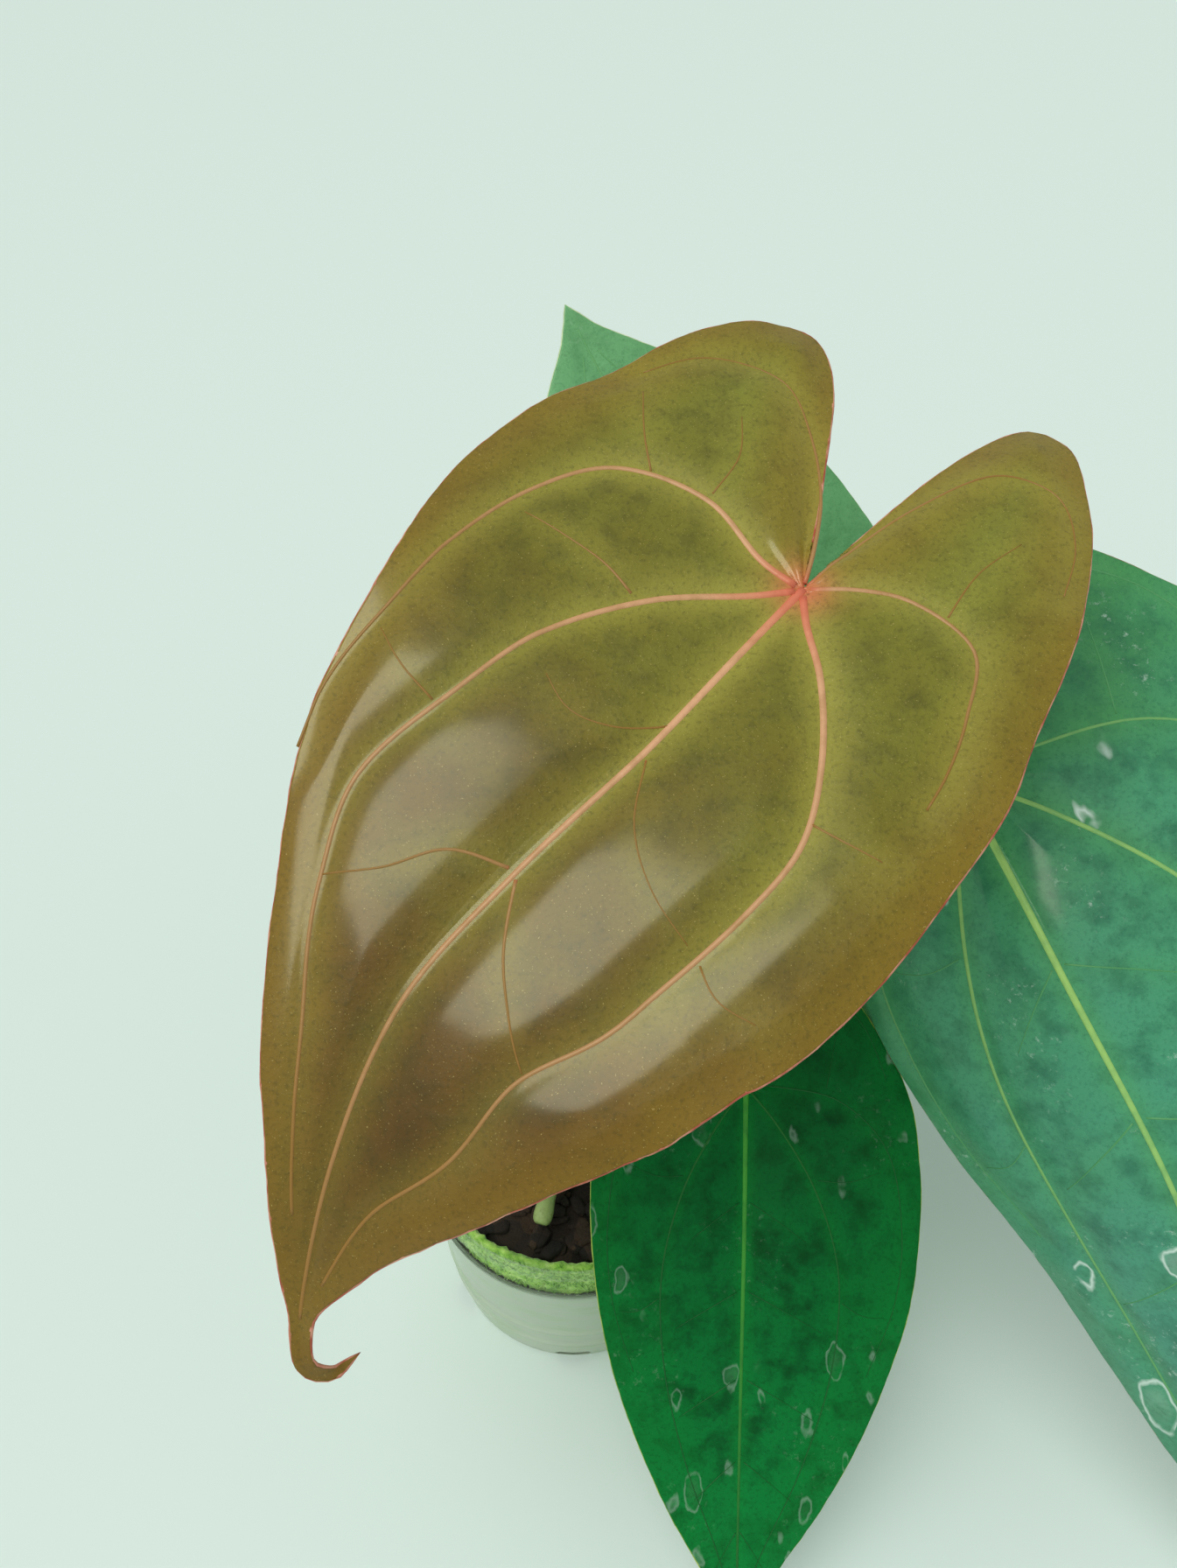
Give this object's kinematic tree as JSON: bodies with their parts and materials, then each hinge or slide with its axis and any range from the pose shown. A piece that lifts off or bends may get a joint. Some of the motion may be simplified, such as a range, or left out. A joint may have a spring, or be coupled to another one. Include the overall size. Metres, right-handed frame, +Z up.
{
  "type": "potted anthurium plant",
  "caption": "Young velvety heart-leaved aroid on arching stalks, rooted in bark mix and moss inside a clear tapered cup.",
  "frame": {"origin": "centre of the cup's flat underside, on the surface that it stands on", "axes": "+Z up along the cup's axis; the newest leaf's face and the front leaf point towards -Y; the leaves lean towards +X"},
  "size_m": [0.25, 0.2457, 0.2669],
  "materials": {
    "cup": "clear thin plastic, slightly clouded with water marks",
    "potting_mix": "damp dark bark pieces, stands in for chunky potting mix",
    "moss_collar": "bright lime green living moss",
    "stem": "green and brown ringed plant stem",
    "petiole": "smooth green leaf stalk, slightly reddish near the blade",
    "blade_new": "bronze olive velvety young leaf with salmon pink veins and a red rim",
    "blade_right": "bluish green velvety leaf with pale yellow green veins and mineral marks",
    "blade_front": "dark green satin leaf with a yellow green midrib",
    "blade_rear": "paler bluish green velvety leaf",
    "aerial_root": "smooth pale green root with a blunt tip",
    "cataphyll": "dry papery brown green leaf sheath"
  },
  "bodies": {
    "root": {"cup": "cup", "potting_mix": "potting_mix", "moss_collar": "moss_collar", "stem": "stem", "petiole_new": "petiole", "petiole_right": "petiole", "petiole_front": "petiole", "petiole_rear": "petiole", "blade_new": "blade_new", "blade_right": "blade_right", "blade_front": "blade_front", "blade_rear": "blade_rear", "aerial_root_1": "aerial_root", "aerial_root_2": "aerial_root", "aerial_root_3": "aerial_root", "cataphyll_1": "cataphyll", "cataphyll_2": "cataphyll", "cataphyll_3": "cataphyll"}
  },
  "joints": []
}
